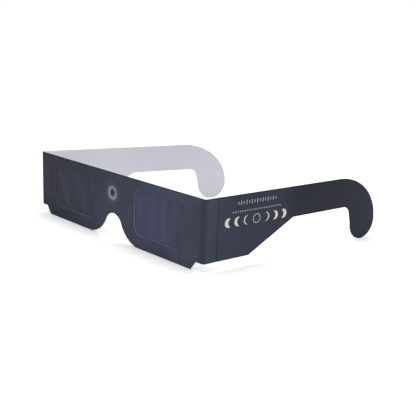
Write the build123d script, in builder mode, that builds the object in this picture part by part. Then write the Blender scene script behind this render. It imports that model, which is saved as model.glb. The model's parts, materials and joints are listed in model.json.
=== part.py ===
"""Card eclipse glasses: a die-cut, scored and folded card blank with two trapped solar filters.

Frame: origin at the middle of the bridge, on the outer face of the front. +X is the wearer's left,
+Y runs back along the temples towards the ears and +Z is up. All lengths are millimetres.

The blank is one sheet of card on the real object. It is split here at its scored creases, because
those are its hinges: the front with its folded-up flap, then on each side a corner strip and a temple.
"""

import math
import os

from build123d import *

# Card, film and the gap that the film leaves between the plies
card = 0.4
film = 0.12
film_clearance = 0.03

# Front, seen flat from crease to crease, with a tab below that is cut back at each end
crease_span = 143.2
front_height = 37.7
bridge_height = 23.0
tab_height = 4.8
notch_width = 4.5
tab_chamfer = 3.75

# Nose arch: a round crown that flares out until it is level with the bottom fold
nose_radius = 7.7
nose_flare = 17.6
fold_lead = 2.0
fold_press_width = 0.24

# Windows, the same in both plies: the card left above, below, between and outside them
window_head = 5.1
window_sill = 7.4
window_bridge = 36.4
window_cheek = 13.6
window_corner = 5.5

# Inner flap, filters and glue between the plies
flap_setback = 0.8
flap_corner = 3.0
film_margin = 3.0
film_corner = 3.5
glue_clearance = 0.1
glue_inset = 0.5
glue_rail = 0.8
glue_end_width = 2.6
glue_end_margin = 4.0
glue_patch_width = 21.0
glue_patch_height = 12.0
glue_patch_corner = 3.0

# Creases: a bend at each corner of the front, and a second score in line behind it
bend_radius = 0.8
strip_length = 6.7
score_width = 1.0
score_depth = 0.17
bead_height = 0.12

# Temples, measured along the card from the second score
temple_length = 118.8
deep_length = 20.7
taper_length = 30.8
band_height = 16.9
hook_radius = 10.4
hook_rake = 2.6
hook_fillet = 5.2
crown_length = 32.2

# Rest pose: how far each temple leans outward from straight back, in degrees
left_lean_angle = 5.6
right_lean_angle = -17.7

# Heights
top_z = bridge_height / 2
nose_top_z = -bridge_height / 2
base_z = top_z - front_height
root_z = base_z + tab_height
temple_height = top_z - root_z
fold_z = base_z + card
under_z = top_z - band_height
window_height = front_height - window_head - window_sill
window_z = base_z + window_sill + window_height / 2
flap_top_z = top_z - flap_setback
rail_z = flap_top_z - glue_inset
film_top_z = rail_z - glue_rail - glue_clearance
film_base_z = base_z + window_sill - film_margin

# Widths from the middle
crease_x = crease_span / 2
notch_x = crease_x - notch_width
fold_outer_x = notch_x - tab_chamfer
window_width = crease_x - window_bridge / 2 - window_cheek
window_x = (window_bridge + window_width) / 2

# Depths from the outer face
ply_gap = film + 2 * film_clearance
flap_y = card + ply_gap
stack = flap_y + card
film_y = card + film_clearance
fold_corner = (stack - fold_press_width) / 2

# Nose arch, worked out from its two radii
nose_z = nose_top_z - nose_radius
flare_z = base_z + nose_flare
flare_x = math.sqrt((nose_radius + nose_flare) ** 2 - (flare_z - nose_z) ** 2)
flare_angle = math.degrees(math.atan2(flare_z - nose_z, flare_x))
fold_inner_x = flare_x - fold_lead

# Bend at the corner creases
outer_bend = bend_radius + card

os.makedirs("parts", exist_ok=True)


def ply_face(half_width, high_z, corner=0):
    """One ply of the front, flat: straight top, tabbed bottom, bell-shaped nose arch and two windows.

    It is as wide and as high as asked, ends below at the bottom creases, and has its upper corners
    rounded where a corner radius is given.
    """
    with BuildSketch() as band:
        with Locations((0, (fold_z + high_z) / 2)):
            Rectangle(2 * half_width, high_z - fold_z)
        if corner:
            fillet(band.vertices().group_by(Axis.Y)[-1], corner)
    with BuildSketch() as ply:
        with BuildLine():
            CenterArc((0, nose_z), nose_radius, flare_angle, 90 - flare_angle)
            CenterArc((flare_x, flare_z), nose_flare, 180 + flare_angle, 90 - flare_angle)
            Polyline(
                (flare_x, base_z),
                (fold_outer_x, base_z),
                (notch_x, root_z),
                (crease_x, root_z),
                (crease_x, top_z),
                (0, top_z),
            )
            mirror(about=Plane.YZ)
        make_face()
        add(band.sketch, mode=Mode.INTERSECT)
        with Locations((-window_x, window_z), (window_x, window_z)):
            RectangleRounded(window_width, window_height, window_corner, mode=Mode.SUBTRACT)
    return ply.sketch


# Outer ply of the front
with BuildPart() as front_panel:
    with BuildSketch(Plane.XZ):
        add(ply_face(crease_x, top_z))
    extrude(amount=-card)
front_panel.part.label = "front_panel"
export_step(front_panel.part, "parts/front_panel.step")

# Inner ply: the flap that is folded up behind the front from its two bottom creases
with BuildPart() as inner_flap:
    with BuildSketch(Plane.XZ.offset(-flap_y)):
        add(ply_face(notch_x, flap_top_z, flap_corner))
    extrude(amount=-card)
inner_flap.part.label = "inner_flap"
export_step(inner_flap.part, "parts/inner_flap.step")

# Glue between the plies: a rail along the top and a patch on the bridge
with BuildPart() as top_glue_line:
    with BuildSketch(Plane.XZ.offset(-card)):
        with Locations((0, rail_z)):
            Rectangle(2 * (notch_x - flap_corner), glue_rail, align=(Align.CENTER, Align.MAX))
    extrude(amount=-ply_gap)
top_glue_line.part.label = "top_glue_line"
export_step(top_glue_line.part, "parts/top_glue_line.step")

with BuildPart() as bridge_glue_patch:
    with BuildSketch(Plane.XZ.offset(-card)):
        RectangleRounded(glue_patch_width, glue_patch_height, glue_patch_corner)
    extrude(amount=-ply_gap)
bridge_glue_patch.part.label = "bridge_glue_patch"
export_step(bridge_glue_patch.part, "parts/bridge_glue_patch.step")

for side_name, side, lean_angle in (("left", 1, left_lean_angle), ("right", -1, right_lean_angle)):
    # Bottom crease that joins the two plies, pressed flat underneath
    with BuildPart() as bottom_fold:
        with BuildSketch(Plane.YZ.offset(side * fold_inner_x)) as fold_section:
            with Locations((0, base_z)):
                Rectangle(stack, card, align=(Align.MIN, Align.MIN))
            fillet(fold_section.vertices().group_by(Axis.Y)[0], fold_corner)
        extrude(amount=side * (fold_outer_x - fold_inner_x))
    bottom_fold.part.label = f"{side_name}_bottom_fold"
    export_step(bottom_fold.part, f"parts/{side_name}_bottom_fold.step")

    # Solar filter, larger than its window all round and held between the plies
    with BuildPart() as filter_film:
        with BuildSketch(Plane.XZ.offset(-film_y)):
            with Locations((side * window_x, (film_base_z + film_top_z) / 2)):
                RectangleRounded(window_width + 2 * film_margin, film_top_z - film_base_z, film_corner)
        extrude(amount=-film)
    filter_film.part.label = f"{side_name}_filter"
    export_step(filter_film.part, f"parts/{side_name}_filter.step")

    # Glue up the outer end of the flap
    with BuildPart() as end_glue_line:
        with BuildSketch(Plane.XZ.offset(-card)):
            with Locations((side * (notch_x - glue_inset), (root_z + flap_top_z) / 2)):
                Rectangle(
                    glue_end_width,
                    flap_top_z - root_z - 2 * glue_end_margin,
                    align=(Align.MAX if side > 0 else Align.MIN, Align.CENTER),
                )
        extrude(amount=-ply_gap)
    end_glue_line.part.label = f"{side_name}_glue_line"
    export_step(end_glue_line.part, f"parts/{side_name}_glue_line.step")

    # Directions of this side's temple, and a drawing plane on its inner face
    lean = math.radians(lean_angle)
    along = Vector(side * math.sin(lean), math.cos(lean), 0)
    outward = Vector(side * along.Y, -side * along.X, 0)
    hinge = Vector(side * crease_x, outer_bend, 0)
    inner_face = Plane(hinge + outward * bend_radius, x_dir=along, z_dir=outward * side)
    outer_depth = side * card

    # Corner crease: the card bent round between the front and the strip
    bend_angle = 90 - lean_angle
    with BuildPart() as corner_crease:
        with BuildSketch(Plane.XY.offset(root_z)):
            with BuildLine():
                bend_start = -90 if side > 0 else -90 - bend_angle
                outside = CenterArc((hinge.X, hinge.Y), outer_bend, bend_start, bend_angle)
                inside = CenterArc((hinge.X, hinge.Y), bend_radius, bend_start, bend_angle)
                Line(outside @ 0, inside @ 0)
                Line(outside @ 1, inside @ 1)
            make_face()
        extrude(amount=temple_height)
    corner_crease.part.label = f"{side_name}_corner_crease"
    export_step(corner_crease.part, f"parts/{side_name}_corner_crease.step")

    # Flat strip between the two creases
    with BuildPart() as corner_strip:
        with BuildSketch(inner_face):
            with Locations((0, root_z)):
                Rectangle(strip_length, temple_height, align=(Align.MIN, Align.MIN))
        extrude(amount=outer_depth)
    corner_strip.part.label = f"{side_name}_corner_strip"
    export_step(corner_strip.part, f"parts/{side_name}_corner_strip.step")

    # Second score: a channel pressed into the outside, with its bead raised on the inside
    score_plane = Plane(inner_face.origin + Vector(0, 0, root_z), x_dir=along, z_dir=(0, 0, 1))
    with BuildPart() as temple_crease:
        with BuildSketch(score_plane):
            with BuildLine():
                start, end = strip_length, strip_length + score_width
                outer_n, bend_n = -side * card, side * bead_height
                channel_n = -side * (card - score_depth)
                Line((start, 0), (start, outer_n))
                ThreePointArc((start, outer_n), ((start + end) / 2, channel_n), (end, outer_n))
                Line((end, outer_n), (end, 0))
                ThreePointArc((end, 0), ((start + end) / 2, bend_n), (start, 0))
            make_face()
        extrude(amount=temple_height)
    temple_crease.part.label = f"{side_name}_temple_crease"
    export_step(temple_crease.part, f"parts/{side_name}_temple_crease.step")

    # Temple: a deep root that tapers to a band, ending in a hook that drops behind the ear
    root = strip_length + score_width
    tip = root + temple_length
    tip_z = base_z + hook_radius
    hook_heel = (tip - 2 * hook_radius - hook_rake, under_z)
    with BuildPart() as temple:
        with BuildSketch(inner_face) as temple_outline:
            with BuildLine():
                Line((root, root_z), (root, top_z))
                Line((root, top_z), (tip - crown_length, top_z))
                EllipticalCenterArc(
                    (tip - crown_length, tip_z), crown_length, top_z - tip_z, arc_size=90
                )
                CenterArc((tip - hook_radius, tip_z), hook_radius, 180, 180)
                Polyline(
                    (tip - 2 * hook_radius, tip_z),
                    hook_heel,
                    (root + deep_length + taper_length, under_z),
                    (root + deep_length, root_z),
                    (root, root_z),
                )
            make_face()
            fillet(temple_outline.vertices().sort_by_distance(hook_heel)[0], hook_fillet)
        extrude(amount=outer_depth)
    temple.part.label = f"{side_name}_temple"
    export_step(temple.part, f"parts/{side_name}_temple.step")
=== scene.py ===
"""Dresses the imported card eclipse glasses: printed card with cut edges, folds, film and ink marks.

The file is laid out as an add-on. Property groups hold the sizes and colours, each operator makes
one piece or one group of like pieces, and a panel in the sidebar lists the operators. Lengths are
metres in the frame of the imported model: x to the wearer's left, y back along the temples, z up, and
the origin at the middle of the bridge on the outer face of the front.
"""

import json
import math
from collections import namedtuple

import bmesh
import bpy
import numpy as np
from bpy.props import FloatProperty, FloatVectorProperty, IntProperty, PointerProperty
from bpy.types import NodeSocket, Operator, Panel, PropertyGroup
from mathutils import Matrix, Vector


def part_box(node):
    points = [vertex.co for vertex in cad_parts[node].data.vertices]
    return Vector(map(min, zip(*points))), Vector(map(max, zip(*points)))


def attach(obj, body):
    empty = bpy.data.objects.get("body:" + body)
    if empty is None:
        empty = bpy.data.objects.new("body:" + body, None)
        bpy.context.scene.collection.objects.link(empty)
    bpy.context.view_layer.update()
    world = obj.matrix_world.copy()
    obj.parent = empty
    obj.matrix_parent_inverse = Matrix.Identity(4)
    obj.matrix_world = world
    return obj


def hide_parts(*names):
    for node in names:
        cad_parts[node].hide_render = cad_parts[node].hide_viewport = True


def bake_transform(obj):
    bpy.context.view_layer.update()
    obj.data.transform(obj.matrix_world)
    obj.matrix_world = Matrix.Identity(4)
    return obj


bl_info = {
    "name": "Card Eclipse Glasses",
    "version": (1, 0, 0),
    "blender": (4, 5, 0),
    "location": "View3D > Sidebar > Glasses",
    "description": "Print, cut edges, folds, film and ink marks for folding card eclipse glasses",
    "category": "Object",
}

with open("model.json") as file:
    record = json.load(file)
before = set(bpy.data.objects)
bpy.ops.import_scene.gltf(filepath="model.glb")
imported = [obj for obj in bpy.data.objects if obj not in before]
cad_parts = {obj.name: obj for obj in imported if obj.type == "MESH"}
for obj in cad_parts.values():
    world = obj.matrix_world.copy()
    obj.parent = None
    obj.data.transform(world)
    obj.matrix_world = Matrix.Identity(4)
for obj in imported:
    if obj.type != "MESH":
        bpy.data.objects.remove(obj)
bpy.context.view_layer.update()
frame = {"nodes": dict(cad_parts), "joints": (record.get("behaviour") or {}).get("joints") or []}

MM = 0.001
UP = np.array((0.0, 0.0, 1.0))
FORWARD = np.array((0.0, -1.0, 0.0))
PRINT, CORE, PLAIN = 0, 1, 2

# Corners closer than WELD are one corner, and those within ON_PLANE of a plane lie on it. A face
# looks one way above the cosine SAME_WAY, and two sides of an outline are in line above IN_LINE.
# Shading is smooth across edges that turn by less than SHARP.
WELD = 1e-6
ON_PLANE = 10 * WELD
SAME_WAY = 0.999
IN_LINE = 0.99999
SHARP = math.radians(25)

# Corners round one quarter of a cut's section, a fold's width, a film, a crescent's side, a ring, a
# bead and the floor
ROLL_POINTS = 6
FOLD_STATIONS = 3
FILM_COLUMNS, FILM_ROWS = 97, 65
LIMB_POINTS = 49
RING_POINTS = 48
BEAD_POINTS = 16
FLOOR_POINTS = 64

# The film's ripple: the share of half a film over which it fades out, the slant of its first wave,
# and the height, slant and length of its second wave as shares of the first
RIPPLE_FADE = 0.25
FIRST_SLANT = 0.4
SECOND_HEIGHT, SECOND_SLANT, SECOND_LENGTH = 0.6, 0.3, 1.7

# Strokes and beads on each side of the middle one, heights of the strokes in pitches, and the hole
# of a bead as a share of its radius
STROKES, BEADS = 7, 10
SHORT_STROKE, LONG_STROKE = 0.8, 1.25
BEAD_HOLE = 0.25

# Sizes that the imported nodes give
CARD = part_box("front_panel")[1].y
CREASE_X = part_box("front_panel")[1].x
FOLD_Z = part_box("front_panel")[0].z
TOP_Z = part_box("front_panel")[1].z
BASE_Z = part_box("left_bottom_fold")[0].z
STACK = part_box("left_bottom_fold")[1].y
FOLD_END_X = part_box("left_bottom_fold")[1].x
FLAP_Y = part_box("inner_flap")[0].y
NOTCH_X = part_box("inner_flap")[1].x
ROOT_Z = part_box("left_corner_strip")[0].z

# Slow changes of tone: the axis, the two places between which the tone changes, and both tones
Fade = namedtuple("Fade", "axis start end low high")
LEFTWARD, BACKWARD = (1.0, 0.0, 0.0), (0.0, 1.0, 0.0)
# Painted light and shade on the print: lighter toward the left across the front, darker behind the
# corners and past the tapers, lighter again on the hooks
PAINTED_LIGHT_ACROSS_PRINT = Fade(LEFTWARD, -0.08, 0.045, 0.83, 1.50)
PAINTED_SHADE_BEHIND_CORNER = Fade(BACKWARD, -0.008, 0.024, 0.89, 0.57)
PAINTED_SHADE_PAST_TAPER = Fade(BACKWARD, 0.050, 0.063, 1.0, 0.62)
PAINTED_LIGHT_ON_HOOK = Fade(BACKWARD, 0.092, 0.115, 1.0, 1.22)
COOL_LEFT = Fade(LEFTWARD, -0.07, -0.02, 0.0, 1.0)
COOL_FRONT = Fade(BACKWARD, 0.02, 0.07, 1.0, 0.0)
# Painted light on the unprinted side, lighter toward the front where the front shades it
PAINTED_LIGHT_ON_WHITE = Fade(BACKWARD, -0.04, 0.09, 1.48, 0.955)
# Painted shade on the cut edges, darker toward the right end
PAINTED_SHADE_ACROSS_CORE = Fade(LEFTWARD, -0.065, -0.04, 0.35, 1.0)
# Painted reflection on the films, lighter toward the left
PAINTED_REFLECTION_ACROSS_FILM = Fade(LEFTWARD, -CREASE_X, CREASE_X, 0.62, 1.15)

# Surfaces: scale of the fibre, dust or lumps, roughness where these are low and where they are
# high, and height of the relief
Surface = namedtuple("Surface", "scale rough relief")
PRINT_SURFACE = Surface(2600.0, (0.58, 0.74), 0.004 * MM)
WHITE_SURFACE = Surface(3200.0, (0.66, 0.78), 0.010 * MM)
CORE_SURFACE = Surface(9000.0, (0.79, 0.91), 0.020 * MM)
FILM_SURFACE = Surface(1500.0, (0.20, 0.34), 0.004 * MM)
INK_SURFACE = Surface(2600.0, (0.42, 0.56), 0.0)
GLUE_SURFACE = Surface(900.0, (0.30, 0.50), 0.030 * MM)

# Print: the least tone that its painted light and shade reach before creases and hook, its painted
# shade at a cut, how dark the corona's disc is, the weight of the small clouds, and the cover and
# scale of the specks
LEAST_PAINTED_LIGHT = 0.53
CUT_EDGE_SHADE = 0.35
DISC_DARK = 0.35
SMALL_CLOUDS = 0.35
SPECK_COVER, SPECK_SCALE = 0.05, 620.0

# How closely the film's streaks are packed along each axis
NARROW_STREAKS, BROAD_STREAKS = (900.0, 60.0, 60.0), (170.0, 20.0, 20.0)

# Fixed colours of the shading, with full cover
BLACK = (0.0, 0.0, 0.0, 1.0)
WHITE = (1.0, 1.0, 1.0, 1.0)
WARM = (1.13, 1.07, 1.0, 1.0)
SPECK = (0.55, 0.55, 0.70, 1.0)
GLUE_DEEP = (0.66, 0.64, 0.56, 1.0)
GLUE_SKIN = (0.80, 0.79, 0.73, 1.0)
FLOOR_WHITE = (0.93, 0.93, 0.93, 1.0)

# Fibre: scale and weight of the clumps against the grain, how much tone the height makes, and the
# share of the colour that bare card keeps low in its fibre and ink keeps where it is thin
CLUMP_SCALE, CLUMP_WEIGHT, FIBRE_TONE = 0.13, 1.4, 0.42
DEEP_FIBRE, THIN_COVER = 0.93, 0.86

# Corona: how uneven it is with the angle, where it leans, its least brightness, the width of its
# ring and of its disc as shares of the ring's radius, and the strength and fall of the glow outside
UNEVEN, LEAN, LEAST = 1.6, (-0.12, -0.14, 0.0), 0.26
RING_WIDTH, DISC_WIDTH = 0.29, 0.55
GLOW_STRENGTH, GLOW_FALL = 0.34, 2.2

# Stage: roughness of the floor, the camera's sensor in millimetres and its nearest distance, and of
# each lamp the place, the size across and the setting that holds its power
FLOOR_ROUGH = 0.9
SENSOR = 36.0
NEAREST = 0.01
LAMPS = {
    "overhead_light": ((0.0, 0.1, 1.6), 1.6, "overhead"),
    "side_light": ((1.2, -0.2, 0.6), 0.8, "side"),
}

# Places of a Mix node's colour sockets, and kinds of the groups' sockets that hold no plain number
MIX_INPUTS, MIX_RESULT = (0, 6, 7), 2
SOCKETS = {
    "Vector": "NodeSocketVector",
    "Axis": "NodeSocketVector",
    "Ink": "NodeSocketColor",
    "Haze": "NodeSocketColor",
    "Color": "NodeSocketColor",
}

Side = namedtuple("Side", "name sign hinge along outward bend_angle strip_end score_end")


def node_corners(node):
    """All corners of a CAD node as one array."""
    mesh = frame["nodes"][node].data
    corners = np.empty(3 * len(mesh.vertices))
    mesh.vertices.foreach_get("co", corners)
    return corners.reshape(-1, 3)


def read_side(name, sign):
    """One temple's crease, its directions along and out of the card, and where strip and score end.

    The second crease lies at a distance along the card and one outer bend radius out from the
    first, so in the plane of x and y it is the direction along the card times
    (distance - i * sign * radius).
    """
    joints = {joint["name"]: np.array(joint["pos_m"]) for joint in frame["joints"]}
    hinge = joints[f"{name}_front_fold"]
    step = joints[f"{name}_temple_fold"] - hinge
    radius = hinge[1]
    distance = math.sqrt(step @ step - radius**2)
    turned = complex(step[0], step[1]) / complex(distance, -sign * radius)
    along = np.array((turned.real, turned.imag, 0.0))
    outward = sign * np.array((turned.imag, -turned.real, 0.0))
    bend_angle = math.pi / 2 - math.asin(sign * turned.real)
    strip_end = ((node_corners(f"{name}_corner_strip") - hinge) @ along).max()
    score_end = ((node_corners(f"{name}_temple_crease") - hinge) @ along).max()
    return Side(name, sign, hinge, along, outward, bend_angle, strip_end, score_end)


LEFT = read_side("left", 1)
RIGHT = read_side("right", -1)


class CardSettings(PropertyGroup):
    """Sizes and colours of the card."""

    roll: FloatProperty(
        name="Cut roll",
        description="How far in from a cut the print rolls over",
        default=0.16 * MM,
        unit="LENGTH",
    )
    roll_dip: FloatProperty(
        name="Roll dip",
        description="How deep the print rolls over at a cut",
        default=0.15 * MM,
        unit="LENGTH",
    )
    burr: FloatProperty(
        name="Back round",
        description="Radius of the small round on the unprinted side of a cut",
        default=0.05 * MM,
        unit="LENGTH",
    )
    # The rim is also how far the painted shade along a cut reaches; the burnish in its description is
    # that painted shade
    rim: FloatProperty(
        name="Rim",
        description="Width of the burnished rim along a cut",
        default=0.9 * MM,
        unit="LENGTH",
    )
    bend_steps: IntProperty(
        name="Bend steps", description="Facets round a bend of the card", default=28
    )
    score_dent: FloatProperty(
        name="Score depth",
        description="Depth of the channel pressed into the outside at the second score",
        default=0.17 * MM,
        unit="LENGTH",
    )
    score_bead: FloatProperty(
        name="Score bead",
        description="Height of the bead that the channel raises on the inside",
        default=0.12 * MM,
        unit="LENGTH",
    )
    arch_flare: FloatProperty(
        name="Arch flare",
        description="Radius at which the nose arch runs out into the bottom folds",
        default=17.6 * MM,
        unit="LENGTH",
    )
    # Painted shade on the corner creases: how far it reaches and how dark it is on the crease
    crease_reach: FloatProperty(
        name="Crease reach",
        description="How far from a corner crease the print is darkened",
        default=3.6 * MM,
        unit="LENGTH",
    )
    crease_painted_shade: FloatProperty(
        name="Crease tone", description="Brightness of the print on a corner crease", default=0.70
    )
    # Painted shade in the second score
    score_painted_shade: FloatProperty(
        name="Pressed tone", description="Brightness of the print in the second score", default=0.60
    )
    ink: FloatVectorProperty(
        name="Ink",
        description="Dark colour of the print",
        default=(0.032, 0.038, 0.058),
        subtype="COLOR",
    )
    haze: FloatVectorProperty(
        name="Haze",
        description="Lighter clouds in the print",
        default=(0.042, 0.046, 0.073),
        subtype="COLOR",
    )
    white: FloatVectorProperty(
        name="White", description="Unprinted side", default=(0.57, 0.57, 0.635), subtype="COLOR"
    )
    core: FloatVectorProperty(
        name="Core", description="Cut through the card", default=(0.30, 0.31, 0.36), subtype="COLOR"
    )


class FilmSettings(PropertyGroup):
    """Sizes and colours of the solar film."""

    ripple: FloatProperty(
        name="Ripple",
        description="Height of the film's ripples in its window",
        default=0.10 * MM,
        unit="LENGTH",
    )
    ripple_length: FloatProperty(
        name="Ripple length", description="Length of one ripple", default=17 * MM, unit="LENGTH"
    )
    margin: FloatProperty(
        name="Margin",
        description="Film that the plies hold outside the window",
        default=3.0 * MM,
        unit="LENGTH",
    )
    corner: FloatProperty(
        name="Corner", description="Corner radius of the film", default=3.5 * MM, unit="LENGTH"
    )
    # The film's colour inside its painted reflection; below it, the painted reflection's place, reach
    # and straying, and the greyer colour beyond it
    colour: FloatVectorProperty(
        name="Film",
        description="Colour of the film",
        default=(0.035, 0.039, 0.071),
        subtype="COLOR",
    )
    reflection_middle: FloatProperty(
        name="Bloom middle",
        description="How far left the film is bluest",
        default=30 * MM,
        unit="LENGTH",
    )
    reflection_start: FloatProperty(
        name="Bloom start",
        description="How far from there the film begins to turn greyer",
        default=16 * MM,
        unit="LENGTH",
    )
    reflection_end: FloatProperty(
        name="Bloom end",
        description="How far from there the film is greyest",
        default=31 * MM,
        unit="LENGTH",
    )
    wander: FloatProperty(
        name="Wander", description="How far the greyer part strays", default=16 * MM, unit="LENGTH"
    )
    beyond_reflection: FloatVectorProperty(
        name="Bloom",
        description="Greyer part of the film",
        default=(0.0272, 0.0320, 0.0528),
        subtype="COLOR",
    )


class MarkSettings(PropertyGroup):
    """Sizes and colours of the printed marks."""

    ring: FloatProperty(
        name="Ring",
        description="Radius of the corona ring on the bridge",
        default=3.0 * MM,
        unit="LENGTH",
    )
    ring_x: FloatProperty(
        name="Ring place",
        description="How far left of the middle the ring stands",
        default=-0.85 * MM,
        unit="LENGTH",
    )
    glow: FloatProperty(
        name="Glow",
        description="Radius to which the corona glows",
        default=6.0 * MM,
        unit="LENGTH",
    )
    corona: FloatVectorProperty(
        name="Corona", description="Ink of the corona", default=(0.215, 0.21, 0.30), subtype="COLOR"
    )
    disc: FloatProperty(
        name="Disc",
        description="Radius of the sun in the row of phases",
        default=2.45 * MM,
        unit="LENGTH",
    )
    pitch: FloatProperty(
        name="Pitch",
        description="Distance between neighbouring phases",
        default=6.2 * MM,
        unit="LENGTH",
    )
    row_middle: FloatProperty(
        name="Row middle",
        description="Distance of the middle phase from the corner crease",
        default=32.7 * MM,
        unit="LENGTH",
    )
    row_height: FloatProperty(
        name="Row height",
        description="Height of the row of phases",
        default=-2.3 * MM,
        unit="LENGTH",
    )
    thin: FloatProperty(
        name="Thin phase",
        description="Width of the thinnest crescent",
        default=0.72 * MM,
        unit="LENGTH",
    )
    middling: FloatProperty(
        name="Middling phase",
        description="Width of the middling crescent",
        default=1.75 * MM,
        unit="LENGTH",
    )
    thick: FloatProperty(
        name="Thick phase",
        description="Width of the thickest crescent",
        default=2.2 * MM,
        unit="LENGTH",
    )
    halo: FloatProperty(
        name="Halo",
        description="Width of the ring in the middle of the row",
        default=0.26 * MM,
        unit="LENGTH",
    )
    scale_height: FloatProperty(
        name="Scale height",
        description="Height of the graduated scale",
        default=7.1 * MM,
        unit="LENGTH",
    )
    scale_pitch: FloatProperty(
        name="Scale pitch",
        description="Distance between two strokes",
        default=1.8 * MM,
        unit="LENGTH",
    )
    scale_stroke: FloatProperty(
        name="Scale stroke",
        description="Width of a stroke of the scale",
        default=0.52 * MM,
        unit="LENGTH",
    )
    bead_height: FloatProperty(
        name="Bead height", description="Height of the beaded line", default=2.7 * MM, unit="LENGTH"
    )
    bead_pitch: FloatProperty(
        name="Bead pitch",
        description="Distance between two beads",
        default=1.6 * MM,
        unit="LENGTH",
    )
    bead: FloatProperty(
        name="Bead", description="Radius of a bead", default=0.40 * MM, unit="LENGTH"
    )
    lift: FloatProperty(
        name="Ink lift",
        description="Height of the ink above the card",
        default=0.012 * MM,
        unit="LENGTH",
    )
    ivory: FloatVectorProperty(
        name="Ivory", description="Ink of the phases", default=(0.57, 0.58, 0.505), subtype="COLOR"
    )
    faint: FloatVectorProperty(
        name="Faint", description="Ink of the scale", default=(0.31, 0.31, 0.39), subtype="COLOR"
    )


class StageSettings(PropertyGroup):
    """Floor, lights and camera."""

    azimuth: FloatProperty(
        name="Azimuth",
        description="Camera's angle round the glasses",
        default=math.radians(45.488),
        unit="ROTATION",
    )
    elevation: FloatProperty(
        name="Elevation",
        description="Camera's angle above the horizon",
        default=math.radians(14.850),
        unit="ROTATION",
    )
    roll: FloatProperty(
        name="Roll", description="Camera's roll", default=math.radians(2.443), unit="ROTATION"
    )
    place: FloatVectorProperty(
        name="Place",
        description="Where the camera stands",
        default=(318.39 * MM, -239.79 * MM, 98.57 * MM),
        unit="LENGTH",
    )
    lens: FloatProperty(name="Lens", description="Focal length", default=64.16, unit="CAMERA")
    floor: FloatProperty(
        name="Floor", description="Radius of the floor", default=0.6, unit="LENGTH"
    )
    sky: FloatProperty(name="Sky", description="Strength of the even studio light", default=0.50)
    overhead: FloatProperty(
        name="Overhead",
        description="Power of the soft light overhead",
        default=30.0,
        unit="POWER",
    )
    side: FloatProperty(
        name="Side",
        description="Power of the soft light at the wearer's left",
        default=3.2,
        unit="POWER",
    )


def opaque(colour):
    """A colour with full cover."""
    return (*colour, 1.0)


def add_node(tree, kind, inputs, **options):
    """One node with its options; each input is a constant or another node's output socket."""
    node = tree.nodes.new(kind)
    for key, value in options.items():
        setattr(node, key, value)
    for key, term in inputs.items():
        if isinstance(term, NodeSocket):
            tree.links.new(term, node.inputs[key])
        else:
            node.inputs[key].default_value = term
    return node


def use_math(tree, operation, *terms, clamp=False):
    """One sum on numbers or sockets."""
    inputs = dict(enumerate(terms))
    return add_node(tree, "ShaderNodeMath", inputs, operation=operation, use_clamp=clamp).outputs[0]


def times(tree, first, *others):
    """The product of numbers and sockets, taken in order."""
    for term in others:
        first = use_math(tree, "MULTIPLY", first, term)
    return first


def plus(tree, first, second):
    """The sum of two numbers or sockets."""
    return use_math(tree, "ADD", first, second)


def bell(tree, value, power, fall=1.0):
    """exp(-fall * value ^ power)."""
    return use_math(tree, "EXPONENT", times(tree, use_math(tree, "POWER", value, power), -fall))


def use_vector(tree, operation, inputs, output="Vector"):
    """One sum on vectors."""
    return add_node(tree, "ShaderNodeVectorMath", inputs, operation=operation).outputs[output]


def mix_colour(tree, share, first, second):
    """A colour between first and second by share."""
    inputs = dict(zip(MIX_INPUTS, (share, first, second)))
    return add_node(tree, "ShaderNodeMix", inputs, data_type="RGBA").outputs[MIX_RESULT]


def noise(tree, vector, scale, detail, roughness=0.5):
    """Soft noise from 0 to 1."""
    inputs = {"Vector": vector, "Scale": scale, "Detail": detail, "Roughness": roughness}
    return add_node(tree, "ShaderNodeTexNoise", inputs).outputs["Fac"]


def streaks(tree, vector, stretch, detail):
    """Noise packed close along one axis and drawn out along the others."""
    drawn = add_node(tree, "ShaderNodeMapping", {"Vector": vector, "Scale": stretch}).outputs[0]
    return noise(tree, drawn, 1.0, detail)


def ranged(tree, value, low=0.0, high=1.0, start=0.0, end=1.0, smooth=False):
    """Carries a value from start and end to low and high, straight or along an S curve."""
    inputs = {"Value": value, "From Min": start, "From Max": end, "To Min": low, "To Max": high}
    curve = "SMOOTHSTEP" if smooth else "LINEAR"
    return add_node(tree, "ShaderNodeMapRange", inputs, interpolation_type=curve).outputs["Result"]


def measured(tree, label):
    """A measure that make_piece keeps on the corners."""
    return add_node(tree, "ShaderNodeAttribute", {}, attribute_name=label).outputs["Fac"]


def from_middle(tree, across, up):
    """A vector in a plane, from its two parts."""
    return add_node(tree, "ShaderNodeCombineXYZ", {"X": across, "Y": up}).outputs[0]


def new_group(name, **inputs):
    """An empty shader node group with named inputs and their defaults; gives its input sockets."""
    group = bpy.data.node_groups.new(name, "ShaderNodeTree")
    for label, value in inputs.items():
        kind = SOCKETS.get(label, "NodeSocketFloat")
        socket = group.interface.new_socket(name=label, in_out="INPUT", socket_type=kind)
        if value is not None:
            socket.default_value = value
    return group, group.nodes.new("NodeGroupInput").outputs


def end_group(group, **results):
    """Gives a group one named output for each result."""
    for label in results:
        kind = SOCKETS.get(label, "NodeSocketFloat")
        group.interface.new_socket(name=label, in_out="OUTPUT", socket_type=kind)
    end = group.nodes.new("NodeGroupOutput")
    for label, result in results.items():
        group.links.new(result, end.inputs[label])


def use_group(tree, group, **inputs):
    """A node group placed in a material with its own values; gives its output sockets."""
    return add_node(tree, "ShaderNodeGroup", inputs, node_tree=bpy.data.node_groups[group]).outputs


def faded(tree, place, fade):
    """The tone of one slow fade."""
    start, end, low, high = fade[1:]
    return use_group(
        tree, "slow_fade", Vector=place, Axis=fade.axis, Start=start, End=end, Low=low, High=high
    )["Tone"]


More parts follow.
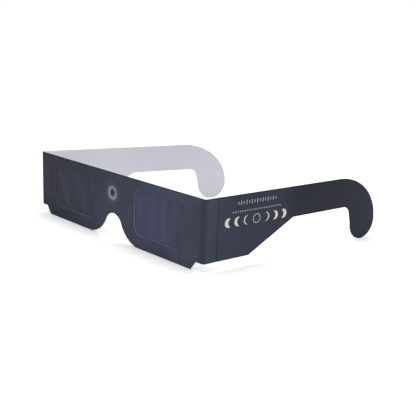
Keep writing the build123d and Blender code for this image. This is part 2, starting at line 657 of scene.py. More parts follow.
def build_fibre_group():
    """Paper fibre: fine grain with longer clumps. Gives a height and a tone from 0 to 1."""
    group, given = new_group("fibre", Vector=None, Scale=5000.0)
    grain = noise(group, given["Vector"], given["Scale"], detail=3.0, roughness=0.6)
    clump = noise(group, given["Vector"], times(group, given["Scale"], CLUMP_SCALE), detail=2.0)
    height = plus(group, grain, times(group, clump, CLUMP_WEIGHT))
    tone = use_math(group, "MULTIPLY", height, FIBRE_TONE, clamp=True)
    end_group(group, Height=height, Tone=tone)


def build_fade_group():
    """Slow change of tone along an axis: low before start, high past end, smooth between."""
    defaults = {"Start": 0.0, "End": 0.1, "Low": 0.5, "High": 1.0}
    group, given = new_group("slow_fade", Vector=None, Axis=None, **defaults)
    reach = use_vector(group, "DOT_PRODUCT", {0: given["Vector"], 1: given["Axis"]}, "Value")
    ends = [given[label] for label in ("Low", "High", "Start", "End")]
    end_group(group, Tone=ranged(group, reach, *ends, smooth=True))


def build_fold_group():
    """Painted shade beside the corner creases, which stand at plus and minus Crease along x: low on
    them.
    """
    group, given = new_group("fold_shade", Vector=None, Crease=0.07, Reach=0.004, Low=0.7)
    axes = add_node(group, "ShaderNodeSeparateXYZ", {"Vector": given["Vector"]}).outputs
    across = use_math(group, "SUBTRACT", use_math(group, "ABSOLUTE", axes["X"]), given["Crease"])
    away = use_vector(group, "LENGTH", {0: from_middle(group, across, axes["Y"])}, "Value")
    tone = ranged(group, away, low=given["Low"], end=given["Reach"], smooth=True)
    end_group(group, Tone=tone)


def build_night_group():
    """Night print: two sizes of soft cloud between a dark and a lighter ink, with faint specks."""
    group, given = new_group("night_print", Vector=None, Ink=None, Haze=None, Speck=SPECK_COVER)
    broad = noise(group, given["Vector"], scale=34.0, detail=2.0)
    small = noise(group, given["Vector"], scale=260.0, detail=4.0)
    clouds = plus(group, broad, times(group, small, SMALL_CLOUDS))
    cloud = ranged(group, clouds, start=0.52, end=0.88, smooth=True)
    ground = mix_colour(group, cloud, given["Ink"], given["Haze"])
    cells = {"Vector": given["Vector"], "Scale": SPECK_SCALE, "Randomness": 1.0}
    away = add_node(group, "ShaderNodeTexVoronoi", cells, feature="F1").outputs["Distance"]
    speck = ranged(group, away, start=0.13, end=0.05, smooth=True)
    colour = mix_colour(group, times(group, speck, given["Speck"]), ground, SPECK)
    end_group(group, Color=colour)


def build_corona_group():
    """Corona round a dark disc: a bright ring that falls off outward, uneven with the angle.

    Brightness = exp(-((r - ring) / width)^2) and outside the ring a glow of exp(-fall (r / glow)^2)
    with r from the middle in the plane of x and z. The dark of the disc is exp(-(r / disc)^4).
    """
    group, given = new_group("corona", Vector=None, Middle=0.0, Ring=0.0025, Glow=0.005)
    ring = given["Ring"]
    axes = add_node(group, "ShaderNodeSeparateXYZ", {"Vector": given["Vector"]}).outputs
    across = use_math(group, "SUBTRACT", axes["X"], given["Middle"])
    flat = from_middle(group, across, axes["Z"])
    radius = use_vector(group, "LENGTH", {0: flat}, "Value")
    around = use_vector(group, "NORMALIZE", {0: flat})
    streak = times(group, noise(group, around, scale=2.2, detail=3.0), UNEVEN)
    lean = use_vector(group, "DOT_PRODUCT", {0: around, 1: LEAN}, "Value")
    uneven = plus(group, plus(group, streak, lean), LEAST)

    away = use_math(group, "SUBTRACT", radius, ring)
    away = use_math(group, "DIVIDE", away, times(group, ring, RING_WIDTH))
    bright = times(group, bell(group, away, power=2.0), uneven)
    far = use_math(group, "DIVIDE", radius, given["Glow"])
    glow = bell(group, far, power=2.0, fall=GLOW_FALL)
    outside = times(group, use_math(group, "GREATER_THAN", radius, ring), glow)
    rays = times(group, outside, times(group, uneven, GLOW_STRENGTH))
    near = use_math(group, "DIVIDE", radius, times(group, ring, DISC_WIDTH))
    mask = use_math(group, "ADD", bright, rays, clamp=True)
    end_group(group, Mask=mask, Dark=bell(group, near, power=4.0))


def new_material(name, specular=0.5):
    """A material with its shader; gives the tree, the shader and the object coordinates."""
    material = bpy.data.materials.new(name)
    material.use_nodes = True
    tree = material.node_tree
    tree.nodes.clear()
    shader = add_node(tree, "ShaderNodeBsdfPrincipled", {"Specular IOR Level": specular})
    add_node(tree, "ShaderNodeOutputMaterial", {"Surface": shader.outputs["BSDF"]})
    return tree, shader, add_node(tree, "ShaderNodeTexCoord", {}).outputs["Object"]


def feed_shader(tree, shader, surface, colour, tone, height=None):
    """Feeds the shader: its colour, a roughness that follows the tone, and the surface's relief."""
    tree.links.new(colour, shader.inputs["Base Color"])
    tree.links.new(ranged(tree, tone, *surface.rough), shader.inputs["Roughness"])
    if height is not None:
        inputs = {"Distance": surface.relief, "Height": height}
        bump = add_node(tree, "ShaderNodeBump", inputs).outputs["Normal"]
        tree.links.new(bump, shader.inputs["Normal"])


def printed_material(name, card, marks=None):
    """Coated card printed in dark ink; with marks, the corona stands on the bridge.

    Its tone is the product of slow fades of painted light and shade over the glasses, held above a
    floor, and of painted shade on the creases, in the scores and along the cuts. It is warmer to the
    right and at the back.
    """
    tree, shader, place = new_material(name, specular=0.10)
    ink = {"Ink": opaque(card.ink), "Haze": opaque(card.haze)}
    colour = use_group(tree, "night_print", Vector=place, **ink)["Color"]
    fibre = use_group(tree, "fibre", Vector=place, Scale=PRINT_SURFACE.scale)
    if marks:
        sizes = {"Middle": marks.ring_x, "Ring": marks.ring, "Glow": marks.glow}
        corona = use_group(tree, "corona", Vector=place, **sizes)
        colour = mix_colour(tree, times(tree, corona["Dark"], DISC_DARK), colour, BLACK)
        colour = mix_colour(tree, corona["Mask"], colour, opaque(marks.corona))
    # Painted shade along the cuts, in the second score and beside the corner creases
    cut_edge_shade = ranged(tree, measured(tree, "from_cut"), low=CUT_EDGE_SHADE, end=card.rim / MM)
    score = ranged(tree, measured(tree, "pressed"), low=1.0, high=card.score_painted_shade)
    crease = {"Crease": CREASE_X, "Reach": card.crease_reach, "Low": card.crease_painted_shade}
    fold = use_group(tree, "fold_shade", Vector=place, **crease)["Tone"]
    # Painted light and shade: slow fades over the glasses, kept above the least tone, times the
    # painted light on the hooks
    fades = (PAINTED_LIGHT_ACROSS_PRINT, PAINTED_SHADE_BEHIND_CORNER, PAINTED_SHADE_PAST_TAPER)
    tone = times(tree, *(faded(tree, place, fade) for fade in fades))
    tone = use_math(tree, "MAXIMUM", tone, LEAST_PAINTED_LIGHT)
    tone = times(tree, tone, faded(tree, place, PAINTED_LIGHT_ON_HOOK), fold, score, cut_edge_shade)
    cool = times(tree, faded(tree, place, COOL_LEFT), faded(tree, place, COOL_FRONT))
    toned = use_vector(tree, "SCALE", {0: colour, "Scale": tone})
    tinted = use_vector(tree, "MULTIPLY", {0: toned, 1: mix_colour(tree, cool, WARM, WHITE)})
    feed_shader(tree, shader, PRINT_SURFACE, tinted, fibre["Tone"], fibre["Height"])


def plain_material(name, colour, fade, surface):
    """Bare card: fibre in its tone, roughness and relief, and a slow fade of its tone that paints
    light and shade on it.
    """
    tree, shader, place = new_material(name)
    fibre = use_group(tree, "fibre", Vector=place, Scale=surface.scale)
    deep = opaque(DEEP_FIBRE * value for value in colour)
    tint = mix_colour(tree, fibre["Tone"], deep, opaque(colour))
    toned = use_vector(tree, "SCALE", {0: tint, "Scale": faded(tree, place, fade)})
    feed_shader(tree, shader, surface, toned, fibre["Tone"], fibre["Height"])


def film_material(film):
    """Dark glossy polymer film; its narrow and broad streaks give relief and painted reflection."""
    tree, shader, place = new_material("dark_film", specular=0.06)
    streak = streaks(tree, place, NARROW_STREAKS, detail=3.0)
    broad = streaks(tree, place, BROAD_STREAKS, detail=1.0)
    dust = noise(tree, place, FILM_SURFACE.scale, detail=2.0)
    patch = noise(tree, place, scale=60.0, detail=1.0)
    # Painted reflection: the film is bluish about a place in the left window and greyer away from it
    x = add_node(tree, "ShaderNodeSeparateXYZ", {"Vector": place}).outputs["X"]
    away = use_math(tree, "ABSOLUTE", use_math(tree, "SUBTRACT", x, film.reflection_middle))
    away = plus(tree, away, times(tree, patch, film.wander))
    off_reflection = ranged(tree, away, start=film.reflection_start, end=film.reflection_end, smooth=True)
    ground = mix_colour(tree, off_reflection, opaque(film.colour), opaque(film.beyond_reflection))
    # Painted reflection: the streaks' tone, and the film lighter toward the left
    narrow_sheen = ranged(tree, streak, low=1.25, high=1.45)
    broad_sheen = ranged(tree, broad, low=0.72, high=1.28)
    tone = times(tree, faded(tree, place, PAINTED_REFLECTION_ACROSS_FILM), times(tree, narrow_sheen, broad_sheen))
    toned = use_vector(tree, "SCALE", {0: ground, "Scale": tone})
    feed_shader(tree, shader, FILM_SURFACE, toned, dust, streak)


def ink_material(name, colour):
    """Light ink laid on the card, slightly uneven in cover."""
    tree, shader, place = new_material(name)
    tone = use_group(tree, "fibre", Vector=place, Scale=INK_SURFACE.scale)["Tone"]
    thin = opaque(THIN_COVER * value for value in colour)
    cover = mix_colour(tree, tone, thin, opaque(colour))
    feed_shader(tree, shader, INK_SURFACE, cover, tone)


def glue_material():
    """Dry white glue with a soft skin."""
    tree, shader, place = new_material("glue_skin")
    lump = noise(tree, place, GLUE_SURFACE.scale, detail=2.0)
    colour = mix_colour(tree, lump, GLUE_DEEP, GLUE_SKIN)
    feed_shader(tree, shader, GLUE_SURFACE, colour, lump, lump)


def card_materials(face="night_card"):
    """The three finishes of a piece of card, in the order PRINT, CORE, PLAIN."""
    return [bpy.data.materials[name] for name in (face, "card_core", "white_card")]


def make_piece(name, points, faces, finish, materials, slot, **measures):
    """A closed mesh from whole arrays: its corners, its faces and the finish of each face.

    It is shaded smooth across edges that turn by less than SHARP. Each further measure, such as
    from_cut, is kept on the corners as an attribute that a material reads.
    """
    mesh = bpy.data.meshes.new(name)
    mesh.from_pydata(points, [], faces)
    mesh.polygons.foreach_set("material_index", np.asarray(finish, np.int32))
    for label, values in measures.items():
        kept = mesh.attributes.new(label, "FLOAT", "POINT").data
        kept.foreach_set("value", np.asarray(values, np.float32))
    for material in materials:
        mesh.materials.append(material)
    work = bmesh.new()
    work.from_mesh(mesh)
    bmesh.ops.remove_doubles(work, verts=work.verts, dist=WELD)
    bmesh.ops.recalc_face_normals(work, faces=work.faces)
    work.to_mesh(mesh)
    work.free()
    mesh.shade_smooth()
    mesh.set_sharp_from_angle(angle=SHARP)
    piece = bpy.data.objects.new(name, mesh)
    bpy.context.scene.collection.objects.link(piece)
    return piece


def cut_section(card):
    """How the card's surface runs over a cut edge, from the print to the plain side.

    Gives the inset from the cut, the depth below the print and the finish of each stretch. The
    print lies level over the rim, then rolls over a quarter ellipse down to the wall; the back is a
    quarter round and is level over the rim again. The last step of the roll, the wall and the near
    half of the round are bare core.
    """
    turn = np.linspace(0, math.pi / 2, ROLL_POINTS)
    roll, back = card.roll * (1 - np.sin(turn)), card.burr * (1 - np.cos(turn))
    inset = np.concatenate(([card.rim, card.rim / 2], roll, back, [card.rim]))
    dip, rise = card.roll_dip * (1 - np.cos(turn)), card.burr * (1 - np.sin(turn))
    depth = np.concatenate(([0, 0], dip, CARD - rise, [CARD]))
    finish = np.full(len(inset) - 1, CORE)
    finish[:ROLL_POINTS] = PRINT
    finish[-(ROLL_POINTS // 2) :] = PLAIN
    return inset, depth, finish


def flat_face(node, facing):
    """Corners, triangles and outline of the flat face of a CAD node that looks along facing.

    Corners that lie together are made one. A triangle's side that no other triangle runs back
    along is on the outline: follow[i] is the corner that the outline leads to from corner i, with
    the card on its left.
    """
    mesh = frame["nodes"][node].data
    mesh.calc_loop_triangles()
    triangles = np.empty(3 * len(mesh.loop_triangles), np.int32)
    mesh.loop_triangles.foreach_get("vertices", triangles)
    points = node_corners(node)
    same = np.unique(np.round(points / WELD), axis=0, return_index=True, return_inverse=True)
    points, triangles = points[same[1]], same[2].reshape(-1)[triangles].reshape(-1, 3)
    a, b, c = np.moveaxis(points[triangles], 1, 0)
    normal = np.cross(b - a, c - a)
    looks = normal @ facing > SAME_WAY * np.linalg.norm(normal, axis=1)
    used, triangles = np.unique(triangles[looks], return_inverse=True)
    points, triangles = points[used], triangles.reshape(-1, 3)
    sides = triangles[:, [[0, 1], [1, 2], [2, 0]]].reshape(-1, 2)
    count = len(points)
    there, back = sides @ (count, 1), sides @ (1, count)
    outer = sides[~np.isin(there, back)]
    follow = np.empty(count, int)
    follow[outer[:, 0]] = outer[:, 1]
    return points, triangles, follow


def drawn_in(points, follow, facing, distance, cut):
    """Outline corners moved into the card: by distance from a cut side, by nothing from a fold.

    With unit normals a and b of the two sides at a corner, c their product and p, q their
    distances, the move is ((p - c q) a + (q - c p) b) / (1 - c^2). Where the sides are in line,
    a and b take (p + q) / 4 each.
    """
    lead = np.empty_like(follow)
    lead[follow] = np.arange(len(follow))
    inward = np.cross(facing, points[follow] - points)
    inward /= np.linalg.norm(inward, axis=1)[:, None]
    before, p, q = inward[lead], distance * cut[lead], distance * cut
    c = np.sum(before * inward, axis=1)
    level = c > IN_LINE
    under = np.where(level, 1, 1 - c * c)
    each = (p + q) / 4
    share_before = np.where(level, each, (p - c * q) / under)
    share_after = np.where(level, each, (q - c * p) / under)
    return points + share_before[:, None] * before + share_after[:, None] * inward


def on_outside(points, follow):
    """Whether each corner is on the outer outline and not round a window.

    Each corner learns the lowest number on its own loop by looking 1, 2, 4, 8 ... corners on; the
    loop that holds the corner furthest along x is the outer one.
    """
    lowest, ahead = np.arange(len(follow)), follow
    for _ in range(int(math.log2(len(follow))) + 1):
        lowest = np.minimum(lowest, lowest[ahead])
        ahead = ahead[ahead]
    return lowest == lowest[points[:, 0].argmax()]


def card_panel(name, node, facing, folds, card, face="night_card"):
    """A flat piece of card with its node's outline and rolled cut edges.

    Corner (i, k) is outline corner i drawn in by inset k and sunk by depth k. The outer and inner
    faces are the node's own triangles. folds are (point, normal) planes on which the outline isn't
    a cut: there one face, the card's section, closes it.
    """
    points, triangles, follow = flat_face(node, facing)
    count = len(points)
    folded = np.zeros(count, bool)
    for point, normal in folds:
        on = np.abs((points - point) @ normal) < ON_PLANE
        folded |= on & on[follow]
    inset, depth, stretch = cut_section(card)
    rows = [
        drawn_in(points, follow, facing, distance, ~folded) - facing * drop
        for distance, drop in zip(inset, depth)
    ]
    corner = np.arange(count)
    quads = np.stack([corner, follow, follow + count, corner + count], 1)[~folded]
    run = len(quads)
    quads = np.concatenate([quads + k * count for k in range(len(stretch))])
    sunk = np.arange(len(inset)) * count
    ends = np.concatenate([follow[folded, None] + sunk, corner[folded, None] + sunk[::-1]], 1)
    back = triangles[:, ::-1] + sunk[-1]
    faces = [*quads.tolist(), *ends.tolist(), *triangles.tolist(), *back.tolist()]
    finish = np.repeat((CORE, PRINT, PLAIN), (len(ends), len(triangles), len(back)))
    finish = np.concatenate([np.repeat(stretch, run), finish])
    rim = card.rim / MM
    from_cut = np.maximum.outer(inset / MM, np.where(on_outside(points, follow), 0, rim)).ravel()
    points, materials = np.concatenate(rows), card_materials(face)
    return make_piece(name, points, faces, finish, materials, "printed_card", from_cut=from_cut)


def band_quads(ring, stations):
    """Four-sided faces between each closed row of corners and the next."""
    corner = np.arange(ring)
    after = np.roll(corner, -1)
    quads = np.stack([corner, after, after + ring, corner + ring], 1)
    return np.concatenate([quads + j * ring for j in range(stations - 1)])


def card_band(name, path, inward, card, dent=0.0, bead=0.0):
    """A band of card from the temple's foot to its top, carried along a path of stations.

    The section's corner (z, depth) at station j lies at path j + inward j * (dent + depth * (1 +
    (bead - dent) / thickness)) + z, so the print sinks by dent and the plain side swells by bead.
    """
    inset, depth, stretch = cut_section(card)
    height = np.concatenate([ROOT_Z + inset, TOP_Z - inset[::-1]])
    depth = np.concatenate([depth, depth[::-1]])
    finish = np.concatenate([stretch, [PLAIN], stretch[::-1], [PRINT]])
    stations, ring = len(path), len(height)
    dent, bead = np.broadcast_to(dent, stations), np.broadcast_to(bead, stations)
    sunk = dent[:, None] + depth * (1 + (bead - dent)[:, None] / CARD)
    points = path[:, None, :] + sunk[..., None] * inward[:, None, :] + height[:, None] * UP
    corner = np.arange(ring)
    ends = [corner[::-1].tolist(), (corner + (stations - 1) * ring).tolist()]
    return make_piece(
        name,
        points.reshape(-1, 3),
        [*band_quads(ring, stations).tolist(), *ends],
        np.concatenate([np.tile(finish, stations - 1), [CORE, CORE]]),
        card_materials(),
        "printed_card",
        from_cut=np.tile(np.concatenate([inset, inset[::-1]]) / MM, stations),
        pressed=np.repeat(dent / card.score_dent, ring),
    )


def on_temple(side, along, lift=0.0):
    """Points on the temple's outer face at distances along the card from the corner crease."""
    out = side.hinge[1] + lift
    return side.hinge * (1, 1, 0) + out * side.outward + np.multiply.outer(along, side.along)


def corner_bend(side, card):
    """The card bent round a corner crease: its outside turns from forward to outward."""
    turn = np.linspace(0, side.bend_angle, card.bend_steps + 1)[:, None]
    facing = np.cos(turn) * FORWARD + np.sin(turn) * (side.sign, 0, 0)
    crease = side.hinge * (1, 1, 0)
    path = crease + side.hinge[1] * facing
    piece = card_band(f"{side.name}_corner_bend", path, -facing, card)
    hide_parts(f"{side.name}_corner_crease")
    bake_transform(piece)


def strip_between(side, card):
    """The flat strip of card between the corner crease and the second score."""
    path = on_temple(side, np.array((0.0, side.strip_end)))
    piece = card_band(f"{side.name}_strip_card", path, np.tile(-side.outward, (2, 1)), card)
    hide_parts(f"{side.name}_corner_strip")
    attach(piece, f"{side.name}_strip")


def second_score(side, card):
    """The second score: channel and bead both follow sin^2 across its width."""
    share = np.linspace(0, 1, card.bend_steps + 1)
    press = np.sin(math.pi * share) ** 2
    path = on_temple(side, side.strip_end + share * (side.score_end - side.strip_end))
    inward = np.tile(-side.outward, (len(share), 1))
    dent, bead = card.score_dent * press, card.score_bead * press
    piece = card_band(f"{side.name}_score_line", path, inward, card, dent, bead)
    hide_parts(f"{side.name}_temple_crease")
    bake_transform(piece)


def bottom_fold(side, card):
    """The U-shaped fold that joins the two plies under a window.

    Round the fold by angle t, the outside is a half ellipse of the stack's depth and the inside a
    half circle in the gap. Each height runs from the flare of the nose arch to the slanted end of
    the tab.
    """
    turn = np.linspace(0, math.pi, card.bend_steps + 1)
    gap = (FLAP_Y - CARD) / 2
    deep = FOLD_Z - BASE_Z
    outer = np.stack([STACK / 2 * (1 - np.cos(turn)), FOLD_Z - deep * np.sin(turn)], 1)
    inner = np.stack([STACK / 2 - gap * np.cos(turn), FOLD_Z - gap * np.sin(turn)], 1)
    section = np.concatenate([outer, inner[::-1]])
    rise = section[:, 1] - BASE_Z
    ply = node_corners("front_panel")
    foot = ply[np.abs(ply[:, 2] - FOLD_Z) < ON_PLANE]
    arch_x = np.abs(foot[:, 0]).min() + math.sqrt(2 * card.arch_flare * deep - deep**2)
    low_x = arch_x - np.sqrt(2 * card.arch_flare * rise - rise**2)
    high_x = FOLD_END_X + rise * (NOTCH_X - FOLD_END_X) / (ROOT_Z - BASE_Z)
    share = np.linspace(0, 1, FOLD_STATIONS)[:, None]
    x = side.sign * (low_x + share * (high_x - low_x))
    points = np.stack([x, *(np.broadcast_to(part, x.shape) for part in section.T)], 2)
    ring, half = len(section), len(turn)
    rung = np.arange(half - 1)
    cap = np.stack([rung, rung + 1, ring - 2 - rung, ring - 1 - rung], 1)
    last = (FOLD_STATIONS - 1) * ring
    quads = band_quads(ring, FOLD_STATIONS)
    faces = [*quads.tolist(), *cap.tolist(), *(cap + last).tolist()]
    loop = np.repeat((PRINT, CORE, PLAIN, CORE), (half - 1, 1, half - 1, 1))
    piece = make_piece(
        f"{side.name}_fold_card",
        points.reshape(-1, 3),
        faces,
        np.concatenate([np.tile(loop, FOLD_STATIONS - 1), np.full(2 * len(cap), CORE)]),
        card_materials(),
        "printed_card",
        from_cut=np.full(FOLD_STATIONS * ring, card.rim / MM),
    )
    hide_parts(f"{side.name}_bottom_fold")
    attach(piece, "front")


def film_sheet(side, film):
    """Solar film with the CAD film's outline and a ripple that fades out where the plies hold it.

    Each row's half width shrinks in the corners by corner - sqrt(corner^2 - over^2). The ripple is
    cos(2 pi (x + slant z) / length + phase) and a second, crossing wave, times a smooth bump that
    is one in the window and zero at its sides.
    """
    low, high = (np.array(corner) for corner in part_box(f"{side.name}_filter"))
    middle, half = (low + high) / 2, (high - low) / 2
    u, v = np.meshgrid(np.linspace(-1, 1, FILM_COLUMNS), np.linspace(-1, 1, FILM_ROWS))
    z = half[2] * v
    over = np.clip(np.abs(z) - (half[2] - film.corner), 0, film.corner)
    x = u * (half[0] - (film.corner - np.sqrt(film.corner**2 - over**2)))
    free_x = np.clip((half[0] - film.margin - np.abs(x)) / (RIPPLE_FADE * half[0]), 0, 1)
    free_z = np.clip((half[2] - film.margin - np.abs(z)) / (RIPPLE_FADE * half[2]), 0, 1)
    loose = free_x * free_x * (3 - 2 * free_x) * free_z * free_z * (3 - 2 * free_z)
    wave = np.cos(2 * math.pi * (x + FIRST_SLANT * z) / film.ripple_length + side.sign)
    length = SECOND_LENGTH * film.ripple_length
    wave += SECOND_HEIGHT * np.cos(2 * math.pi * (SECOND_SLANT * x - z) / length)
    y = film.ripple * loose * wave
    front = np.stack([middle[0] + x, low[1] + y, middle[2] + z], 2).reshape(-1, 3)
    back = front + (0, high[1] - low[1], 0)
    count = len(front)
    index = np.arange(count).reshape(u.shape)
    square = [index[:-1, :-1], index[:-1, 1:], index[1:, 1:], index[1:, :-1]]
    quads = np.stack(square, 2).reshape(-1, 4)
    border = np.concatenate([index[0, :-1], index[:-1, -1], index[-1, :0:-1], index[:0:-1, 0]])
    after = np.roll(border, -1)
    sides = np.stack([border, after, after + count, border + count], 1)
    faces = [*quads.tolist(), *(quads[:, ::-1] + count).tolist(), *sides.tolist()]
    points, material = np.concatenate([front, back]), bpy.data.materials["dark_film"]
    finish = np.zeros(len(faces))
    piece = make_piece(f"{side.name}_film", points, faces, finish, [material], "solar_film")
    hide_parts(f"{side.name}_filter")
    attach(piece, "front")


def ink_plates(name, bands, material, marks):
    """Flat marks on the left temple's print, each between two curves of (along, height).

    The section of a band is a thin plate from just inside the card to the ink's lift above it,
    carried along both curves together; a band whose curves close on themselves is a ring.
    """
    points, faces, start = [], [], 0
    for first, second, closed in bands:
        count = len(first)
        curves = np.stack([first, second, second, first])
        edges = len(curves)
        lifts = np.array((marks.lift, marks.lift, -marks.lift, -marks.lift))[:, None, None]
        base = on_temple(LEFT, curves[..., 0]) + curves[..., 1:] * UP
        points.append((base + lifts * LEFT.outward).reshape(-1, 3))
        step = np.arange(count if closed else count - 1)
        after = (step + 1) % count
        row = np.arange(edges)[:, None] * count
        beside = np.roll(row, -1, axis=0)
        ring = np.stack([row + step, row + after, beside + after, beside + step], 2)
        faces += (ring.reshape(-1, 4) + start).tolist()
        if not closed:
            cap = start + row.ravel()
            faces += [cap.tolist(), (cap[::-1] + count - 1).tolist()]
        start += edges * count
    points, finish = np.concatenate(points), np.zeros(len(faces))
    materials = [bpy.data.materials[material]]
    piece = make_piece(name, points, faces, finish, materials, "printed_card")
    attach(piece, "left_arm")


def phase(middle, width, marks):
    """A partly covered sun: its disc less an equal disc moved over by width, from horn to horn."""
    horn = math.acos(width / 2 / marks.disc)
    limb = np.linspace(horn, 2 * math.pi - horn, LIMB_POINTS)
    shade = np.linspace(math.pi - horn, math.pi + horn, LIMB_POINTS)
    side = np.sign(marks.row_middle - middle)
    centre = np.array((middle, marks.row_height))
    outer = np.stack([side * np.cos(limb), np.sin(limb)], 1) * marks.disc
    inner = np.stack([side * (np.cos(shade) * marks.disc + width), np.sin(shade) * marks.disc], 1)
    return centre + outer, centre + inner, False


def round_band(middle, height, inner, outer, steps=RING_POINTS):
    """A ring between two radii about a point of the temple."""
    turn = np.linspace(0, 2 * math.pi, steps, endpoint=False)
    around = np.stack([np.cos(turn), np.sin(turn)], 1)
    centre = np.array((middle, height))
    return centre + outer * around, centre + inner * around, True


def bar(middle, height, width, tall):
    """An upright bar about a point of the temple."""
    ends = np.array((-tall / 2, tall / 2))
    left = np.stack([np.full(2, middle - width / 2), height + ends], 1)
    return left, left + (width, 0), False


def facing_matrix(back, place, roll):
    """World matrix of a camera or lamp at place that looks against back, rolled by roll."""
    right = np.cross(UP, back)
    right /= np.linalg.norm(right)
    up = np.cross(back, right)
    turned = math.cos(roll) * right + math.sin(roll) * up
    raised = math.cos(roll) * up - math.sin(roll) * right
    matrix = Matrix.Identity(4)
    for row in range(3):
        matrix[row][:] = (turned[row], raised[row], back[row], place[row])
    return matrix


class GLASSES_OT_finishes(Operator):
    """Make the shared shader groups and every material of the glasses"""

    bl_idname = "glasses.finishes"
    bl_label = "Finishes"

    def execute(self, context):
        card, marks = context.scene.glasses_card, context.scene.glasses_marks
        build_fibre_group()
        build_fade_group()
        build_fold_group()
        build_night_group()
        build_corona_group()
        printed_material("night_card", card)
        printed_material("night_card_with_corona", card, marks)
        plain_material("white_card", card.white, PAINTED_LIGHT_ON_WHITE, WHITE_SURFACE)
        plain_material("card_core", card.core, PAINTED_SHADE_ACROSS_CORE, CORE_SURFACE)
        film_material(context.scene.glasses_film)
        ink_material("ivory_ink", marks.ivory)
        ink_material("faint_ink", marks.faint)
        glue_material()
        return {"FINISHED"}


class GLASSES_OT_front_ply(Operator):
    """Make the printed outer ply of the front, with the corona on its bridge"""

    bl_idname = "glasses.front_ply"
    bl_label = "Front ply"

    def execute(self, context):
        folds = [((0, 0, FOLD_Z), UP)]
        folds += [((x, 0, 0), LEFTWARD) for x in (-CREASE_X, CREASE_X)]
        card, face = context.scene.glasses_card, "night_card_with_corona"
        piece = card_panel("front_ply", "front_panel", FORWARD, folds, card, face)
        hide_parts("front_panel")
        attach(piece, "front")
        return {"FINISHED"}


class GLASSES_OT_flap(Operator):
    """Make the inner ply that is folded up behind the front, printed side to the back"""

    bl_idname = "glasses.flap"
    bl_label = "Inner flap"

    def execute(self, context):
        folds = [((0, 0, FOLD_Z), UP)]
        piece = card_panel("flap_ply", "inner_flap", -FORWARD, folds, context.scene.glasses_card)
        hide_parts("inner_flap")
        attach(piece, "front")
        return {"FINISHED"}


class GLASSES_OT_bottom_folds(Operator):
    """Make the two folds that join the plies under the windows"""

    bl_idname = "glasses.bottom_folds"
    bl_label = "Bottom folds"

    def execute(self, context):
        for side in (LEFT, RIGHT):
            bottom_fold(side, context.scene.glasses_card)
        return {"FINISHED"}


class GLASSES_OT_films(Operator):
    """Make the rippled solar film of both windows"""

    bl_idname = "glasses.films"
    bl_label = "Solar films"

    def execute(self, context):
        for side in (LEFT, RIGHT):
            film_sheet(side, context.scene.glasses_film)
        return {"FINISHED"}


class GLASSES_OT_glue(Operator):
    """Give the glue between the plies its finish"""

    bl_idname = "glasses.glue"
    bl_label = "Glue"

    def execute(self, context):
        for node in ("top_glue_line", "bridge_glue_patch", "left_glue_line", "right_glue_line"):
            for slot in frame["nodes"][node].material_slots:
                slot.material = bpy.data.materials["glue_skin"]
        return {"FINISHED"}


class GLASSES_OT_corner_bends(Operator):
    """Make the bent card at both corners of the front"""

    bl_idname = "glasses.corner_bends"
    bl_label = "Corner bends"

    def execute(self, context):
        for side in (LEFT, RIGHT):
            corner_bend(side, context.scene.glasses_card)
        return {"FINISHED"}


class GLASSES_OT_strips(Operator):
    """Make the strips between the corner creases and the second scores"""

    bl_idname = "glasses.strips"
    bl_label = "Corner strips"

    def execute(self, context):
        for side in (LEFT, RIGHT):
            strip_between(side, context.scene.glasses_card)
        return {"FINISHED"}


class GLASSES_OT_scores(Operator):
    """Make the second scores, pressed in outside and raised inside"""

    bl_idname = "glasses.scores"
    bl_label = "Second scores"

    def execute(self, context):
        for side in (LEFT, RIGHT):
            second_score(side, context.scene.glasses_card)
        return {"FINISHED"}


class GLASSES_OT_temples(Operator):
    """Make both temples with their tapers and ear hooks"""

    bl_idname = "glasses.temples"
    bl_label = "Temples"

    def execute(self, context):
        card = context.scene.glasses_card
        for side in (LEFT, RIGHT):
            folds = [(side.hinge * (1, 1, 0) + side.score_end * side.along, side.along)]
            piece = card_panel(
                f"{side.name}_temple_card", f"{side.name}_temple", side.outward, folds, card
            )
            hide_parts(f"{side.name}_temple")
            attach(piece, f"{side.name}_arm")
        return {"FINISHED"}


class GLASSES_OT_phases(Operator):
    """Print the row of eclipse phases on the left temple"""

    bl_idname = "glasses.phases"
    bl_label = "Eclipse phases"

    def execute(self, context):
        marks = context.scene.glasses_marks
        inner = marks.disc - marks.halo
        bands = [round_band(marks.row_middle, marks.row_height, inner, marks.disc)]
        for step, width in enumerate((marks.thin, marks.middling, marks.thick), 1):
            for sign in (-1, 1):
                bands.append(phase(marks.row_middle + sign * step * marks.pitch, width, marks))
        ink_plates("phase_print", bands, "ivory_ink", marks)
        return {"FINISHED"}


class GLASSES_OT_scale(Operator):
    """Print a plain graduated scale and a beaded line above the phases"""

    bl_idname = "glasses.scale"
    bl_label = "Graduated scale"

    def execute(self, context):
        marks = context.scene.glasses_marks
        bands = []
        for k in range(-STROKES, STROKES + 1):
            place = marks.row_middle + k * marks.scale_pitch
            tall = marks.scale_pitch * (SHORT_STROKE if k % 2 else LONG_STROKE)
            bands.append(bar(place, marks.scale_height, marks.scale_stroke, tall))
        for k in range(-BEADS, BEADS + 1):
            place = marks.row_middle + k * marks.bead_pitch
            hole = marks.bead * BEAD_HOLE
            bands.append(round_band(place, marks.bead_height, hole, marks.bead, BEAD_POINTS))
        ink_plates("scale_print", bands, "faint_ink", marks)
        return {"FINISHED"}


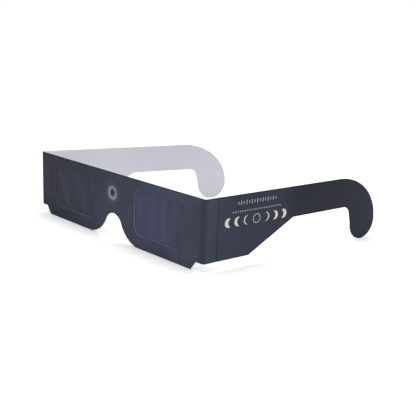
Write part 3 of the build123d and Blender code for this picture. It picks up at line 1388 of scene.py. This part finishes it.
class GLASSES_OT_stage(Operator):
    """Set the pale floor, the soft studio light and the camera"""

    bl_idname = "glasses.stage"
    bl_label = "Stage"

    def execute(self, context):
        scene, stage = context.scene, context.scene.glasses_stage
        turn = np.linspace(0, 2 * math.pi, FLOOR_POINTS, endpoint=False)
        rim = np.stack([np.cos(turn), np.sin(turn), 0 * turn], 1) * stage.floor + BASE_Z * UP
        mesh = bpy.data.meshes.new("floor")
        mesh.from_pydata(rim, [], [list(range(FLOOR_POINTS))])
        shader = new_material("pale_floor", specular=0.1)[1]
        shader.inputs["Base Color"].default_value = FLOOR_WHITE
        shader.inputs["Roughness"].default_value = FLOOR_ROUGH
        mesh.materials.append(bpy.data.materials["pale_floor"])
        floor = bpy.data.objects.new("floor", mesh)
        scene.collection.objects.link(floor)

        world = bpy.data.worlds.new("studio")
        world.use_nodes = True
        tree = world.node_tree
        seen = add_node(tree, "ShaderNodeLightPath", {}).outputs["Is Camera Ray"]
        strength = ranged(tree, seen, low=stage.sky)
        tree.links.new(strength, tree.nodes["Background"].inputs["Strength"])
        tree.nodes["Background"].inputs["Color"].default_value = WHITE
        scene.world = world
        for name, (place, size, power) in LAMPS.items():
            light = bpy.data.lights.new(name, "AREA")
            light.size, light.energy = size, getattr(stage, power)
            lamp = bpy.data.objects.new(name, light)
            away = np.array(place) / np.linalg.norm(place)
            lamp.matrix_world = facing_matrix(away, place, 0.0)
            scene.collection.objects.link(lamp)

        level = math.cos(stage.elevation)
        across, ahead = math.sin(stage.azimuth) * level, -math.cos(stage.azimuth) * level
        back = np.array((across, ahead, math.sin(stage.elevation)))
        camera = bpy.data.objects.new("camera", bpy.data.cameras.new("camera"))
        camera.data.lens = stage.lens
        camera.data.sensor_width = SENSOR
        camera.data.clip_start = NEAREST
        camera.matrix_world = facing_matrix(back, stage.place, stage.roll)
        scene.collection.objects.link(camera)
        scene.camera = camera
        scene.view_settings.view_transform = "Standard"
        return {"FINISHED"}


GROUPS = {
    "glasses_card": CardSettings,
    "glasses_film": FilmSettings,
    "glasses_marks": MarkSettings,
    "glasses_stage": StageSettings,
}
OPERATORS = (
    GLASSES_OT_finishes,
    GLASSES_OT_front_ply,
    GLASSES_OT_flap,
    GLASSES_OT_bottom_folds,
    GLASSES_OT_films,
    GLASSES_OT_glue,
    GLASSES_OT_corner_bends,
    GLASSES_OT_strips,
    GLASSES_OT_scores,
    GLASSES_OT_temples,
    GLASSES_OT_phases,
    GLASSES_OT_scale,
    GLASSES_OT_stage,
)


class GLASSES_PT_pieces(Panel):
    """Sidebar panel that lists the pieces of the glasses"""

    bl_idname = "GLASSES_PT_pieces"
    bl_label = "Eclipse Glasses"
    bl_space_type = "VIEW_3D"
    bl_region_type = "UI"
    bl_category = "Glasses"

    def draw(self, context):
        for operator in OPERATORS:
            self.layout.operator(operator.bl_idname)


def register():
    """Registers the settings, the operators and the panel."""
    for name, group in GROUPS.items():
        bpy.utils.register_class(group)
        setattr(bpy.types.Scene, name, PointerProperty(type=group))
    for part in (*OPERATORS, GLASSES_PT_pieces):
        bpy.utils.register_class(part)


def unregister():
    """Takes everything that register added away again."""
    for part in (GLASSES_PT_pieces, *reversed(OPERATORS)):
        bpy.utils.unregister_class(part)
    for name, group in GROUPS.items():
        delattr(bpy.types.Scene, name)
        bpy.utils.unregister_class(group)


def main():
    """Makes every piece in order."""
    register()
    for operator in OPERATORS:
        group, name = operator.bl_idname.split(".")
        getattr(getattr(bpy.ops, group), name)()


if __name__ == "__main__":
    main()
